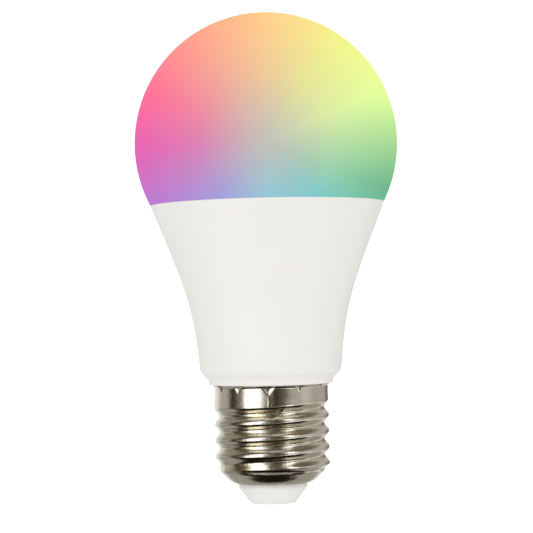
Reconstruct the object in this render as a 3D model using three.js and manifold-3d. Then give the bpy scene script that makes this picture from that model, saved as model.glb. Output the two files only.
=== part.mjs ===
// A smart light bulb with a screw cap: an opal dome, a plastic-clad aluminium housing, a board of
// white and colour LEDs, a radio module, a mains driver board and an E27 screw cap.
// Millimetres, +Z up. The origin is the centre of the cap's contact face, and +Z runs up to the dome.
import * as THREE from "three";
import { mergeVertices } from "three/addons/utils/BufferGeometryUtils.js";
import Module from "manifold-3d";

const wasm = await Module();
wasm.setup();

// The outside of the bulb.
const HEIGHT = 112;
const DOME_RADIUS = 30;
const DOME_WALL = 1.2;
const SEAM_Z = 68.3; // top of the housing, where the dome meets it
const SEAM_RADIUS = 26.75;
const NECK_TOP_RADIUS = 16.25;
const NECK_TOP_Z = 31.4; // the flare ends here, above the rounded shoulder
const HOUSING_WALL = 1.2;
const COLLAR_RADIUS = 14.3;
const COLLAR_Z = 27.3; // the collar's lower face, just above the screw shell's rim
const GAP = 0.3; // between neighbouring pieces

// The screw cap, to the usual E27 sizes.
const CAP_TOP_Z = 27;
const CREST_RADIUS = 13.1;
const ROOT_RADIUS = 12.05;
const PITCH = 25.4 / 7;
const GROOVE_Z = 18.27; // middle of a thread groove at +X
const SHEET = 0.3;
const BOWL_TOP_Z = 7.8;
const BOWL_BOTTOM_Z = 4.1;
const SHELL_HOLE_RADIUS = 7.95;
const INSULATOR_Z = 0.15; // the insulator's lower face
const INSULATOR_TOP_Z = 6.6;
const CONTACT = { headRadius: 3.6, headHeight: 0.8, stemRadius: 1.9, topZ: 5.8, bore: 1, boreZ: 1.8 };
const CRIMPS = 12;
const CRIMP_ANGLE = THREE.MathUtils.degToRad(267); // one crimp and the neutral lead lie here
const CRIMP_SPACING = (2 * Math.PI) / CRIMPS;

// The housing's neck inside the screw cap.
const NECK_BORE = 9.7;
const NECK_RADIUS = ROOT_RADIUS - SHEET - 0.4;
const CRIMP_RING_RADIUS = CREST_RADIUS - SHEET - 0.4;
const NECK_BOTTOM_Z = 8.3;

// The dome's skirt, the aluminium cup and the LED board.
const SKIRT_BOTTOM_Z = 64.6;
const CUP_TOP_Z = 63.4;
const CUP_BOTTOM_Z = 32.2;
const CUP_INSET = HOUSING_WALL + 0.4;
const CUP_WALL = 0.8;
const SHELF_Z = 61; // top of the cup's shelf
const LED_BOARD_Z = SHELF_Z + GAP;
const LED_BOARD_THICKNESS = 1.6;
const LED_BOARD_RADIUS = 21.1;
const LED_SEAT_Z = LED_BOARD_Z + LED_BOARD_THICKNESS + GAP; // undersides of the parts on the board
const SCREW_CIRCLE_RADIUS = 17.3;
const SCREW_HOLE_RADIUS = 1.6;

// The radio module and the pins that link the two boards.
const RADIO_BOARD = { width: 14, thickness: 0.8, y: 2, bottomZ: 57, topZ: 77 };
const RADIO_FACE_Y = RADIO_BOARD.y + RADIO_BOARD.thickness / 2 + GAP;
const LINK_Y = -2.4;
const LINK_PIN_XS = [-2.54, 0, 2.54];
const LINK_PIN_SIDE = 0.64;

// The driver board.
const DRIVER_THICKNESS = 1.2;
const DRIVER_BOTTOM_Z = 11;
const DRIVER_TOP_Z = 58.5;
const DRIVER_FACE_Y = DRIVER_THICKNESS / 2 + GAP; // parts on the driver board start here

const ROUND_SEGMENTS = 36; // round the big turned pieces
const SMALL_SEGMENTS = 20; // round the small ones

// ---- Helpers ----

const v2 = (x, y) => new THREE.Vector2(x, y);
const v3 = (x, y, z) => new THREE.Vector3(x, y, z);
const range = (count) => Array.from({ length: count }, (_, i) => i);
const smooth = (low, high, value) => THREE.MathUtils.smoothstep(value, low, high);

function finish(color, roughness, metalness = 0) {
  return new THREE.MeshStandardMaterial({ color, roughness, metalness });
}

function place(group, name, geometry, material, x = 0, y = 0, z = 0) {
  const mesh = new THREE.Mesh(geometry, material);
  mesh.name = name;
  mesh.position.set(x, y, z);
  group.add(mesh);
  return mesh;
}

// Turns a profile of [radius, z] points, listed anticlockwise, about +Z.
function turned(profile, segments = SMALL_SEGMENTS, startAngle = 0) {
  const points = profile.map(([r, z]) => v2(r, z));
  return new THREE.LatheGeometry(points, segments, startAngle).rotateX(Math.PI / 2);
}

// A profile that doesn't reach the axis ends on its first point.
function ring(profile, segments = ROUND_SEGMENTS, startAngle = 0) {
  return turned([...profile, profile[0]], segments, startAngle);
}

function solidOf(geometry) {
  const bare = geometry.index ? geometry.toNonIndexed() : geometry.clone();
  bare.deleteAttribute("normal");
  bare.deleteAttribute("uv");
  const merged = mergeVertices(bare, 1e-4);
  return new wasm.Manifold(
    new wasm.Mesh({
      numProp: 3,
      vertProperties: merged.attributes.position.array,
      triVerts: new Uint32Array(merged.index.array),
    }),
  );
}

function geometryOf(solid) {
  const mesh = solid.getMesh();
  return new THREE.BufferGeometry()
    .setAttribute("position", new THREE.BufferAttribute(mesh.vertProperties, 3))
    .setIndex(new THREE.BufferAttribute(mesh.triVerts, 1));
}

function cut(geometry, ...tools) {
  return geometryOf(tools.reduce((solid, tool) => solid.subtract(solidOf(tool)), solidOf(geometry)));
}

function join(geometry, ...others) {
  return geometryOf(others.reduce((solid, other) => solid.add(solidOf(other)), solidOf(geometry)));
}

// A box between two opposite corners, given in either order.
function boxBetween([x0, y0, z0], [x1, y1, z1]) {
  return new THREE.BoxGeometry(Math.abs(x1 - x0), Math.abs(y1 - y0), Math.abs(z1 - z0)).translate(
    (x0 + x1) / 2,
    (y0 + y1) / 2,
    (z0 + z1) / 2,
  );
}

// An upright rod from z0 to z1.
function rod(radius, z0, z1, x = 0, y = 0, segments = SMALL_SEGMENTS) {
  return turned([[0, z0], [radius, z0], [radius, z1], [0, z1]], segments).translate(x, y, 0);
}

// A closed outline of [x, y] points, extruded from z0 to z1. Holes are [x, y, radius].
function plate(outline, z0, z1, holes = []) {
  const shape = new THREE.Shape(outline.map(([x, y]) => v2(x, y)));
  for (const [x, y, radius] of holes) {
    shape.holes.push(new THREE.Path().absarc(x, y, radius, 0, 2 * Math.PI, true));
  }
  const options = { depth: z1 - z0, bevelEnabled: false, curveSegments: 6 };
  return new THREE.ExtrudeGeometry(shape, options).translate(0, 0, z0);
}

// A round wire along a smooth path.
function wire(radius, points, steps) {
  const circle = new THREE.Shape().absarc(0, 0, radius, 0, 2 * Math.PI, false);
  const extrudePath = new THREE.CatmullRomCurve3(points.map((p) => v3(...p)));
  return new THREE.ExtrudeGeometry(circle, { steps, extrudePath, curveSegments: 4 });
}

// ---- The housing's flare, which every piece inside it follows ----

const flare = new THREE.CubicBezierCurve(
  v2(SEAM_RADIUS, SEAM_Z),
  v2(19.7, 50.7),
  v2(17.5, 46.1),
  v2(NECK_TOP_RADIUS, NECK_TOP_Z),
);

// The flare's outer radius at a height, by bisection: its z falls from the seam to the neck.
function flareRadius(z) {
  let [low, high] = [0, 1];
  for (let i = 0; i < 40; i++) {
    const t = (low + high) / 2;
    if (flare.getPoint(t).y > z) low = t;
    else high = t;
  }
  return flare.getPoint((low + high) / 2).x;
}

// Points that run along the flare between two heights, set in from it by an inset.
function alongFlare(z0, z1, inset, steps) {
  return range(steps + 1).map((i) => {
    const z = z0 + ((z1 - z0) * i) / steps;
    return [flareRadius(z) - inset, z];
  });
}

// ---- Diffuser dome ----

function domeArc(radius, lowZ, steps) {
  const centreZ = HEIGHT - DOME_RADIUS;
  const start = Math.asin((lowZ - centreZ) / radius);
  return range(steps + 1).map((i) => {
    const angle = start + ((Math.PI / 2 - start) * i) / steps;
    return [i === steps ? 0 : radius * Math.cos(angle), centreZ + radius * Math.sin(angle)];
  });
}

function diffuserDome() {
  const skirtInset = HOUSING_WALL + 0.4;
  const skirtWall = 1;
  const skirtTop = flareRadius(SEAM_Z) - skirtInset;
  const skirtBottom = flareRadius(SKIRT_BOTTOM_Z) - skirtInset;
  const rimZ = SEAM_Z + GAP;
  const innerRimZ = SEAM_Z + 1.6;
  return turned(
    [
      ...domeArc(DOME_RADIUS - DOME_WALL, innerRimZ, 9).reverse(),
      [skirtTop - skirtWall, SEAM_Z],
      [skirtBottom - skirtWall, SKIRT_BOTTOM_Z],
      [skirtBottom, SKIRT_BOTTOM_Z],
      [skirtTop, SEAM_Z],
      [skirtTop, rimZ],
      ...domeArc(DOME_RADIUS, rimZ, 13),
    ],
    ROUND_SEGMENTS,
  );
}

// The bead of silicone that holds the dome's skirt in the housing.
function domeAdhesive() {
  const clearance = 0.35;
  const [low, high] = [CUP_TOP_Z + clearance, SKIRT_BOTTOM_Z - clearance];
  const outer = flareRadius(low) - HOUSING_WALL - 0.45;
  const inner = outer - 1;
  return ring([[inner, low], [outer, low], [outer, high], [inner, high]]);
}

// ---- Housing ----

// Pockets in the neck, which the shell's crimps are punched into.
function crimpPockets() {
  const [depthRadius, halfWidth, lowZ] = [11.75, 1.8, 24.7];
  return range(CRIMPS).map((i) =>
    boxBetween(
      [depthRadius, -halfWidth, lowZ],
      [CRIMP_RING_RADIUS + 1, halfWidth, COLLAR_Z - 0.1],
    ).rotateZ(CRIMP_ANGLE + i * CRIMP_SPACING),
  );
}

// The groove that carries the neutral lead up the outside of the neck.
function neutralGroove() {
  const [floorRadius, halfWidth, topZ] = [10.3, 0.75, 24.4];
  return boxBetween([floorRadius, -halfWidth, 0], [NECK_RADIUS + 0.5, halfWidth, topZ]).rotateZ(CRIMP_ANGLE);
}

// Two pairs of ribs in the bore, which the driver board's tail slides between.
function boardRails() {
  const rib = { from: 8.3, near: DRIVER_THICKNESS / 2 + 0.35, thick: 0.8, lowZ: 13, highZ: 28 };
  return [-1, 1].flatMap((side) =>
    [-1, 1].map((face) =>
      boxBetween(
        [rib.from * side, rib.near * face, rib.lowZ],
        [(NECK_BORE + 0.6) * side, (rib.near + rib.thick) * face, rib.highZ],
      ),
    ),
  );
}

function housing() {
  const outer = [
    [NECK_BORE, NECK_BOTTOM_Z],
    [NECK_RADIUS, NECK_BOTTOM_Z],
    [NECK_RADIUS, 23.3],
    [CRIMP_RING_RADIUS, 24.3],
    [CRIMP_RING_RADIUS, COLLAR_Z],
    [COLLAR_RADIUS - 0.2, COLLAR_Z],
    [COLLAR_RADIUS, COLLAR_Z + 0.2],
    [COLLAR_RADIUS, 28.3],
    [15.1, 29.2],
    [15.8, 29.9],
    [16.15, 30.6],
    ...alongFlare(NECK_TOP_Z, SEAM_Z, 0, 9),
  ];
  const inner = [
    ...alongFlare(SEAM_Z, NECK_TOP_Z + 0.6, HOUSING_WALL, 7),
    [COLLAR_RADIUS - 0.1, 30.6],
    [NECK_BORE, 29.8],
  ];
  const shell = cut(ring([...outer, ...inner]), ...crimpPockets(), neutralGroove());
  return join(shell, ...boardRails());
}

// ---- Aluminium cup ----

function heatSinkCup() {
  const [lipRadius, shelfRadius] = [12.4, 8];
  const insideInset = CUP_INSET + CUP_WALL;
  const shelfUnderZ = SHELF_Z - CUP_WALL;
  const profile = [
    [lipRadius, CUP_BOTTOM_Z],
    ...alongFlare(CUP_BOTTOM_Z, CUP_TOP_Z, CUP_INSET, 6),
    ...alongFlare(CUP_TOP_Z, SHELF_Z, insideInset, 1),
    [shelfRadius, SHELF_Z],
    [shelfRadius, shelfUnderZ],
    ...alongFlare(shelfUnderZ, CUP_BOTTOM_Z + CUP_WALL, insideInset, 5),
    [lipRadius, CUP_BOTTOM_Z + CUP_WALL],
  ];
  const holes = [-1, 1].map((side) =>
    rod(SCREW_HOLE_RADIUS, SHELF_Z - 2, SHELF_Z + 1, side * SCREW_CIRCLE_RADIUS),
  );
  return cut(ring(profile), ...holes);
}

// ---- LED board and what it carries ----

function ledBoard() {
  const top = LED_BOARD_Z + LED_BOARD_THICKNESS;
  const rim = new THREE.Path().absarc(0, 0, LED_BOARD_RADIUS, 0, 2 * Math.PI).getPoints(36);
  const outline = rim.slice(0, -1).map((p) => [p.x, p.y]);
  const holes = [
    ...[-1, 1].map((side) => [side * SCREW_CIRCLE_RADIUS, 0, SCREW_HOLE_RADIUS]),
    ...LINK_PIN_XS.map((x) => [x, LINK_Y, 0.85]),
  ];
  const slotX = RADIO_BOARD.width / 2 + 0.4;
  const slotY = RADIO_BOARD.thickness / 2 + 0.35;
  const slot = boxBetween(
    [-slotX, RADIO_BOARD.y - slotY, LED_BOARD_Z - 1],
    [slotX, RADIO_BOARD.y + slotY, top + 1],
  );
  return cut(plate(outline, LED_BOARD_Z, top, holes), slot);
}

// A white LED: a block with a rectangular phosphor window sunk into its top.
function whiteLed() {
  return cut(boxBetween([-1.75, -1.4, 0], [1.75, 1.4, 0.8]), boxBetween([-1.3, -1, 0.6], [1.3, 1, 1]));
}

// A colour LED: a larger block with a round window over its three chips.
function colourLed() {
  return cut(boxBetween([-2.5, -2.5, 0], [2.5, 2.5, 1.6]), rod(2, 1.2, 2));
}

function ledRing(group, prefix, geometry, material, count, radius) {
  for (const i of range(count)) {
    const angle = ((i + 0.5) * 2 * Math.PI) / count;
    const name = prefix + String(i + 1).padStart(2, "0");
    const led = place(group, name, geometry, material, radius * Math.cos(angle), radius * Math.sin(angle));
    led.rotation.z = angle + Math.PI / 2;
  }
}

// A pan-head screw with a cross slot, its head's underside at z = 0.
function boardScrew() {
  const [headHeight, tipZ] = [1.4, -5.8];
  const profile = [
    [0, tipZ],
    [0.5, tipZ],
    [1.25, tipZ + 1],
    [1.25, 0],
    [2.2, 0],
    [2.2, 0.7],
    [1.6, headHeight],
    [0, headHeight],
  ];
  const slots = [
    boxBetween([-1.2, -0.2, 0.7], [1.2, 0.2, headHeight + 1]),
    boxBetween([-0.2, -1.2, 0.7], [0.2, 1.2, headHeight + 1]),
  ];
  return cut(turned(profile), ...slots);
}

// A chip lying flat: a moulded block with legs along two sides.
function chip(length, width, height, legsPerSide, legPitch) {
  const legReach = width / 2 + 0.8;
  const body = boxBetween([-length / 2, -width / 2, 0.15], [length / 2, width / 2, height]);
  const legs = range(legsPerSide).map((i) => {
    const x = (i - (legsPerSide - 1) / 2) * legPitch;
    return boxBetween([x - 0.2, -legReach, 0], [x + 0.2, legReach, 0.35]);
  });
  return join(body, ...legs);
}

// ---- Radio module, standing through the LED board ----

function radioBoard() {
  const { width, thickness, y, bottomZ, topZ } = RADIO_BOARD;
  return boxBetween([-width / 2, y - thickness / 2, bottomZ], [width / 2, y + thickness / 2, topZ]);
}

// A folded tin can, open on the side towards its board.
function shieldCan() {
  const [halfWidth, depth, lowZ, highZ, wall] = [5, 2, 64, 72.5, 0.25];
  const can = boxBetween([-halfWidth, 0, lowZ], [halfWidth, depth, highZ]);
  const inside = boxBetween(
    [wall - halfWidth, -1, lowZ + wall],
    [halfWidth - wall, depth - wall, highZ - wall],
  );
  return cut(can, inside);
}

// The meandering aerial track at the top of the radio board.
function aerial() {
  const [track, pitch, turns, bottomZ, topZ] = [0.4, 1.2, 8, 73.5, 76.4];
  const bar = (x0, x1, z0, z1) => boxBetween([x0, 0, z0], [x1, track, z1]);
  const uprights = range(turns + 1).map((i) => {
    const x = (i - turns / 2) * pitch;
    return bar(x - track / 2, x + track / 2, bottomZ, topZ);
  });
  const links = range(turns).map((i) => {
    const x = (i - turns / 2) * pitch;
    const z = i % 2 ? bottomZ : topZ - track;
    return bar(x, x + pitch, z, z + track);
  });
  return join(...uprights, ...links);
}

// ---- Link between the driver board and the LED board ----

// A block with a square hole right through it for each link pin.
function linkBlock(lowY, highY, lowZ, highZ) {
  const [halfLength, holeHalf] = [4.1, 0.65];
  const holes = LINK_PIN_XS.map((x) =>
    boxBetween([x - holeHalf, LINK_Y - holeHalf, lowZ - 1], [x + holeHalf, LINK_Y + holeHalf, highZ + 1]),
  );
  return cut(boxBetween([-halfLength, lowY, lowZ], [halfLength, highY, highZ]), ...holes);
}

// ---- Driver board and its parts. Big parts stand on its +Y face, flat ones on its -Y face ----

// The board narrows at its foot to a tail that fits the neck.
function driverBoard() {
  const [tail, head, stepZ, chamfer] = [8.8, 11, 31.4, 1.2];
  const outline = [
    [-tail, DRIVER_BOTTOM_Z],
    [tail, DRIVER_BOTTOM_Z],
    [tail, stepZ - chamfer],
    [head, stepZ],
    [head, DRIVER_TOP_Z],
    [-head, DRIVER_TOP_Z],
    [-head, stepZ],
    [-tail, stepZ - chamfer],
  ];
  return plate(outline, -DRIVER_THICKNESS / 2, DRIVER_THICKNESS / 2).rotateX(Math.PI / 2);
}

// An electrolytic capacitor lying along +Z: a rolled groove at its lower end, and two leads.
function electrolytic(radius, length) {
  const profile = [
    [0, 0],
    [radius - 0.5, 0],
    [radius, 0.5],
    [radius, 1.5],
    [radius - 0.4, 1.9],
    [radius, 2.3],
    [radius, length - 0.4],
    [radius - 0.4, length],
    [0, length],
  ];
  const leads = [-1, 1].map((side) => rod(0.3, -1.6, 0.2, side * radius * 0.45, 0, 8));
  return join(turned(profile), ...leads);
}

// A coil wound on a ferrite drum that stands on the board's +Y face.
function drumCoil() {
  const profile = [
    [0, 0],
    [4, 0],
    [4, 1],
    [3.4, 1.2],
    [3.4, 7.6],
    [4, 7.8],
    [4, 9],
    [0, 9],
  ];
  return turned(profile).rotateX(-Math.PI / 2);
}

// Two ferrite E halves as one frame, with a window on each side of the middle leg.
function transformerCore() {
  const frame = boxBetween([-6.5, 3.6, 0], [6.5, 7.4, 12.4]);
  const windows = [-1, 1].map((side) => boxBetween([side * 1.8, 0, 2.2], [side * 4.9, 10, 10.2]));
  return cut(frame, ...windows);
}

// The bobbin and its winding round the middle leg, with two rows of pins towards the board.
function transformerCoil() {
  const body = boxBetween([-4.6, 1.2, 2.5], [4.6, 9.8, 9.9]);
  const legHole = boxBetween([-2.1, 3.3, 0], [2.1, 7.7, 13]);
  const [pinX, pinHalf] = [3.4, 0.3];
  const pins = [-pinX, pinX].flatMap((x) =>
    [3.4, 6.2, 9].map((z) => boxBetween([x - pinHalf, 0, z - pinHalf], [x + pinHalf, 2, z + pinHalf])),
  );
  return join(cut(body, legHole), ...pins);
}

// An axial resistor lying along +Z, between its two leads.
function axialResistor() {
  const [bodyRadius, leadRadius, length, leadLength] = [1.55, 0.35, 8, 2];
  const profile = [
    [0, -leadLength],
    [leadRadius, -leadLength],
    [leadRadius, 0],
    [bodyRadius - 0.25, 0],
    [bodyRadius, 0.4],
    [bodyRadius, length - 0.4],
    [bodyRadius - 0.25, length],
    [leadRadius, length],
    [leadRadius, length + leadLength],
    [0, length + leadLength],
  ];
  return turned(profile, 16);
}

// A disc varistor facing -Y, with its two leads below.
function discVaristor() {
  const profile = [
    [0, 0],
    [3.1, 0],
    [3.6, 0.6],
    [3.6, 2.2],
    [3.1, 2.8],
    [0, 2.8],
  ];
  const leads = [-2, 2].map((x) => rod(0.3, -5, -2.5, x, -1.4, 8));
  return join(turned(profile).rotateX(Math.PI / 2), ...leads);
}

// A chip turned to lie on the board's -Y face.
const backChip = (...sizes) => chip(...sizes).rotateX(Math.PI / 2);

// ---- Screw shell ----

// How far the rolled thread stands proud of its root at an angle and height. It is one right-hand
// groove, which runs out above its last turn, and one ridge, which runs out below its first.
function threadRise(angle, z) {
  const turn = angle / (2 * Math.PI);
  const turnsUp = (z - GROOVE_Z) / PITCH;
  const groove = Math.round(turnsUp - turn) + turn;
  const ridge = Math.floor(turnsUp - turn) + 0.5 + turn;
  const grooveDepth = 0.5 + 0.5 * Math.cos(2 * Math.PI * (turnsUp - groove));
  const topRunOut = 1 - smooth(1, 1.25, groove);
  const bottomRunOut = smooth(-3.05, -2.55, ridge);
  const bowlFade = smooth(BOWL_TOP_Z - 1.4, BOWL_TOP_Z + 0.6, z);
  const height = CREST_RADIUS - ROOT_RADIUS;
  return height * bottomRunOut * bowlFade * (1 - topRunOut * grooveDepth);
}

// Heights at which the crimps start and are deepest.
const CRIMP_START_Z = 24.9;
const CRIMP_DEEPEST_Z = 26.1;

// How far the crimps press the shell's rim inwards.
function crimpDepth(angle, z) {
  const [depth, halfWidth] = [0.6, (2 * Math.PI) / ROUND_SEGMENTS];
  const spacings = (angle - CRIMP_ANGLE) / CRIMP_SPACING;
  const off = Math.abs(spacings - Math.round(spacings)) * CRIMP_SPACING;
  const across = Math.max(0, 1 - off / halfWidth);
  const up = smooth(CRIMP_START_Z, CRIMP_DEEPEST_Z, z) * (1 - 0.5 * smooth(CRIMP_DEEPEST_Z, CAP_TOP_Z, z));
  return depth * across * up;
}

// Moves each point of a turned sheet out by the thread's rise and in by the crimps' depth.
function rollThread(sheet) {
  const position = sheet.attributes.position;
  for (const i of range(position.count)) {
    const [x, y, z] = [position.getX(i), position.getY(i), position.getZ(i)];
    const radius = Math.hypot(x, y);
    const angle = (Math.atan2(y, x) + 2 * Math.PI) % (2 * Math.PI);
    const scale = (radius + threadRise(angle, z) - crimpDepth(angle, z)) / radius;
    position.setXY(i, x * scale, y * scale);
  }
  return sheet;
}

function screwShell() {
  const bowl = new THREE.CubicBezierCurve(
    v2(SHELL_HOLE_RADIUS, BOWL_BOTTOM_Z),
    v2(9.3, 4.15),
    v2(11.1, 5.5),
    v2(ROOT_RADIUS, BOWL_TOP_Z),
  );
  const bowlParts = range(5).map((i) => i / 5);
  const outer = bowlParts.map((t) => bowl.getPoint(t).toArray());
  const inner = bowlParts.map((t) => {
    const [point, along] = [bowl.getPoint(t), bowl.getTangent(t)];
    return [point.x - along.y * SHEET, point.y + along.x * SHEET];
  });
  const threadTopZ = 23.2;
  const rows = Math.round((threadTopZ - BOWL_TOP_Z) / (PITCH / 6));
  const heights = range(rows + 1).map((i) => BOWL_TOP_Z + ((threadTopZ - BOWL_TOP_Z) * i) / rows);
  for (const z of [...heights, CRIMP_START_Z, CRIMP_DEEPEST_Z, CAP_TOP_Z]) {
    outer.push([ROOT_RADIUS, z]);
    inner.push([ROOT_RADIUS - SHEET, z]);
  }
  return rollThread(ring([...outer, ...inner.reverse()], ROUND_SEGMENTS, CRIMP_ANGLE + Math.PI / 2));
}

// ---- Base insulator and contact ----

function baseInsulator() {
  const stemHole = CONTACT.stemRadius + GAP;
  const headHole = CONTACT.headRadius + GAP;
  const headSeatZ = CONTACT.headHeight + GAP;
  const [tubeRadius, webTopZ] = [3.3, 2.3];
  return ring([
    [headHole, INSULATOR_Z],
    [4.95, INSULATOR_Z],
    [5.2, INSULATOR_Z + 0.2],
    [7.5, 3.3],
    [7.6, 4.75],
    [8.5, 4.9],
    [9.6, 5.85],
    [9.7, INSULATOR_TOP_Z],
    [8.5, INSULATOR_TOP_Z],
    [6.3, 4.4],
    [4.4, webTopZ],
    [tubeRadius, webTopZ],
    [tubeRadius, INSULATOR_TOP_Z],
    [stemHole, INSULATOR_TOP_Z],
    [stemHole, headSeatZ],
    [headHole, headSeatZ],
  ]);
}

// The contact: a flat head below, and a stem with a blind bore that takes the live lead.
function contactPin() {
  const { headRadius, headHeight, stemRadius, topZ, bore, boreZ } = CONTACT;
  const edge = 0.25;
  const profile = [
    [0, 0],
    [headRadius - edge, 0],
    [headRadius, edge],
    [headRadius, headHeight],
    [stemRadius, headHeight],
    [stemRadius, topZ],
    [bore, topZ],
    [bore, boreZ],
    [0, boreZ],
  ];
  return turned(profile, 32);
}

// ---- Leads between the cap and the driver board ----

// From the board's foot down into the contact's bore.
const LIVE_ROUTE = [
  [4, 1.5, 14],
  [3.6, 1.6, 11.2],
  [1.2, 0.6, 9],
  [0, 0, 7.2],
  [0, 0, 5],
  [0, 0, CONTACT.boreZ + 0.5],
];

const inGroove = (radius, z) => [radius * Math.cos(CRIMP_ANGLE), radius * Math.sin(CRIMP_ANGLE), z];

// From the board's foot under the neck's edge and up its groove to the crimp.
const NEUTRAL_ROUTE = [
  [-3, -1.3, 14],
  [-3, -1.5, 11.4],
  [-2, -4.6, 8.6],
  inGroove(8.4, 7.55),
  inGroove(10.5, 7.6),
  inGroove(11.05, 8.6),
  inGroove(11.05, 12),
  inGroove(11.05, 18),
  inGroove(11.05, 23.4),
];

// ---- Assembly ----

const BLACK_MOULDING = finish(0x1d1d1f, 0.55);
const CAPACITOR_SLEEVE = finish(0x23262d, 0.4);

function enclosure() {
  const group = new THREE.Group();
  place(group, "diffuser_dome", diffuserDome(), finish(0xf4f4f2, 0.4));
  place(group, "dome_adhesive", domeAdhesive(), finish(0xeeeeea, 0.7));
  place(group, "housing", housing(), finish(0xf1efec, 0.45));
  place(group, "heat_sink_cup", heatSinkCup(), finish(0xc9cbce, 0.35, 1));
  return group;
}

function lightBoard() {
  const group = new THREE.Group();
  place(group, "led_board", ledBoard(), finish(0xf2f2ee, 0.5));
  const onTop = new THREE.Group();
  onTop.position.z = LED_SEAT_Z;
  ledRing(onTop, "white_led_", whiteLed(), finish(0xf3d778, 0.4), 12, SCREW_CIRCLE_RADIUS);
  ledRing(onTop, "colour_led_", colourLed(), finish(0xf5f5f5, 0.4), 6, 11);
  const steel = finish(0x9a9a9a, 0.35, 1);
  place(onTop, "board_screw_1", boardScrew(), steel, -SCREW_CIRCLE_RADIUS);
  place(onTop, "board_screw_2", boardScrew(), steel, SCREW_CIRCLE_RADIUS);
  place(onTop, "led_driver_chip", chip(9.9, 2.6, 1.5, 8, 1.27), BLACK_MOULDING, 0, -6.05);
  group.add(onTop);
  return group;
}

function radioModule() {
  const group = new THREE.Group();
  const chipBlock = boxBetween([-2.5, 0, 65.5], [2.5, 0.9, 70.5]);
  place(group, "radio_board", radioBoard(), finish(0x24483a, 0.5));
  place(group, "radio_shield", shieldCan(), finish(0xc4c6c8, 0.3, 1), 0, RADIO_FACE_Y);
  place(group, "radio_chip", chipBlock, BLACK_MOULDING, 0, RADIO_FACE_Y);
  place(group, "radio_aerial", aerial(), finish(0xd9a441, 0.3, 1), 0, RADIO_FACE_Y);
  return group;
}

function boardLink() {
  const group = new THREE.Group();
  const [pinLowZ, pinHighZ, half] = [53.6, 65.9, LINK_PIN_SIDE / 2];
  const pin = boxBetween([-half, -half, pinLowZ], [half, half, pinHighZ]);
  const gold = finish(0xd8b45a, 0.25, 1);
  place(group, "link_header", linkBlock(-3.9, -DRIVER_FACE_Y, 54.6, 57.2), BLACK_MOULDING);
  place(group, "link_socket", linkBlock(-3.6, -1, LED_SEAT_Z, 66.4), finish(0xe9e6dc, 0.5));
  LINK_PIN_XS.forEach((x, i) => place(group, `link_pin_${i + 1}`, pin, gold, x, LINK_Y));
  return group;
}

function driver() {
  const group = new THREE.Group();
  place(group, "driver_board", driverBoard(), finish(0x2c6a4a, 0.5));
  const front = new THREE.Group();
  front.position.y = DRIVER_FACE_Y;
  place(front, "input_capacitor", electrolytic(4, 12.5), CAPACITOR_SLEEVE, 0, 4, 14.6);
  place(front, "filter_inductor", drumCoil(), finish(0x3b3330, 0.6), 0, 0, 35.2);
  place(front, "transformer_core", transformerCore(), finish(0x2f3033, 0.7), 0, 0, 41.4);
  place(front, "transformer_coil", transformerCoil(), finish(0xd9b441, 0.45), 0, 0, 41.4);
  const back = new THREE.Group();
  back.position.y = -DRIVER_FACE_Y;
  place(back, "fusible_resistor", axialResistor(), finish(0x6f8f5a, 0.55), -4.6, -1.6, 15);
  place(back, "varistor", discVaristor(), finish(0x2f5f9c, 0.45), 3.6, 0, 19.4);
  place(back, "bridge_rectifier", backChip(4.7, 3.8, 2.4, 2, 2.54), BLACK_MOULDING, 0, 0, 32.4);
  place(back, "rectifier_diode", backChip(2.6, 4.2, 2.2, 1, 1), BLACK_MOULDING, 5.5, 0, 38.5);
  place(back, "power_switch_chip", backChip(4.9, 3.9, 1.6, 4, 1.27), BLACK_MOULDING, 5, 0, 46.5);
  place(back, "output_capacitor", electrolytic(3.15, 11), CAPACITOR_SLEEVE, -4.6, -3.15, 39);
  group.add(front, back);
  return group;
}

function screwCap() {
  const group = new THREE.Group();
  place(group, "screw_shell", screwShell(), finish(0xb9b3a6, 0.2, 1));
  place(group, "base_insulator", baseInsulator(), finish(0xeeebe6, 0.5));
  place(group, "contact_pin", contactPin(), finish(0xbdb8ad, 0.3, 1));
  place(group, "live_lead", wire(0.5, LIVE_ROUTE, 16), finish(0xa02a24, 0.5));
  place(group, "neutral_lead", wire(0.3, NEUTRAL_ROUTE, 30), finish(0xb87a4b, 0.35, 1));
  return group;
}

const bulb = new THREE.Group();
bulb.add(enclosure(), lightBoard(), radioModule(), boardLink(), driver(), screwCap());

export default bulb;
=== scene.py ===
import math

import bmesh
import bpy
import numpy as np
from mathutils import Matrix, Vector


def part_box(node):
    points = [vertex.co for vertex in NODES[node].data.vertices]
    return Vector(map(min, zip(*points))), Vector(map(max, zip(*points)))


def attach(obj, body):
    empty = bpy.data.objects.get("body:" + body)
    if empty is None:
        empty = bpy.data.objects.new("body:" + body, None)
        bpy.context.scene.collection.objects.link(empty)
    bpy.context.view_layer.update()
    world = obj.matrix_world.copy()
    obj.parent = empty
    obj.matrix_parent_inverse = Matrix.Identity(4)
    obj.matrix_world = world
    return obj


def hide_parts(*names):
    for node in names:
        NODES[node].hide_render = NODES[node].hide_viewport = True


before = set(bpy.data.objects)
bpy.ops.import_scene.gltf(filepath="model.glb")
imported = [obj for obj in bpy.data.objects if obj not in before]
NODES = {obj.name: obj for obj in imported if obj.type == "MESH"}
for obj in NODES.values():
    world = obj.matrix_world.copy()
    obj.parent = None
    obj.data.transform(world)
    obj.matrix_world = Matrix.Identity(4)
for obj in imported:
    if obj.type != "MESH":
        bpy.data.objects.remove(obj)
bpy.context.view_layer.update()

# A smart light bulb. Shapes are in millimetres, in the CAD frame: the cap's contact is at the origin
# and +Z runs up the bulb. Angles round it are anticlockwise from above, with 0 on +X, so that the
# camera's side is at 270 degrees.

MM = 0.001

# ---- Sizes, the same as the CAD's ----

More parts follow.
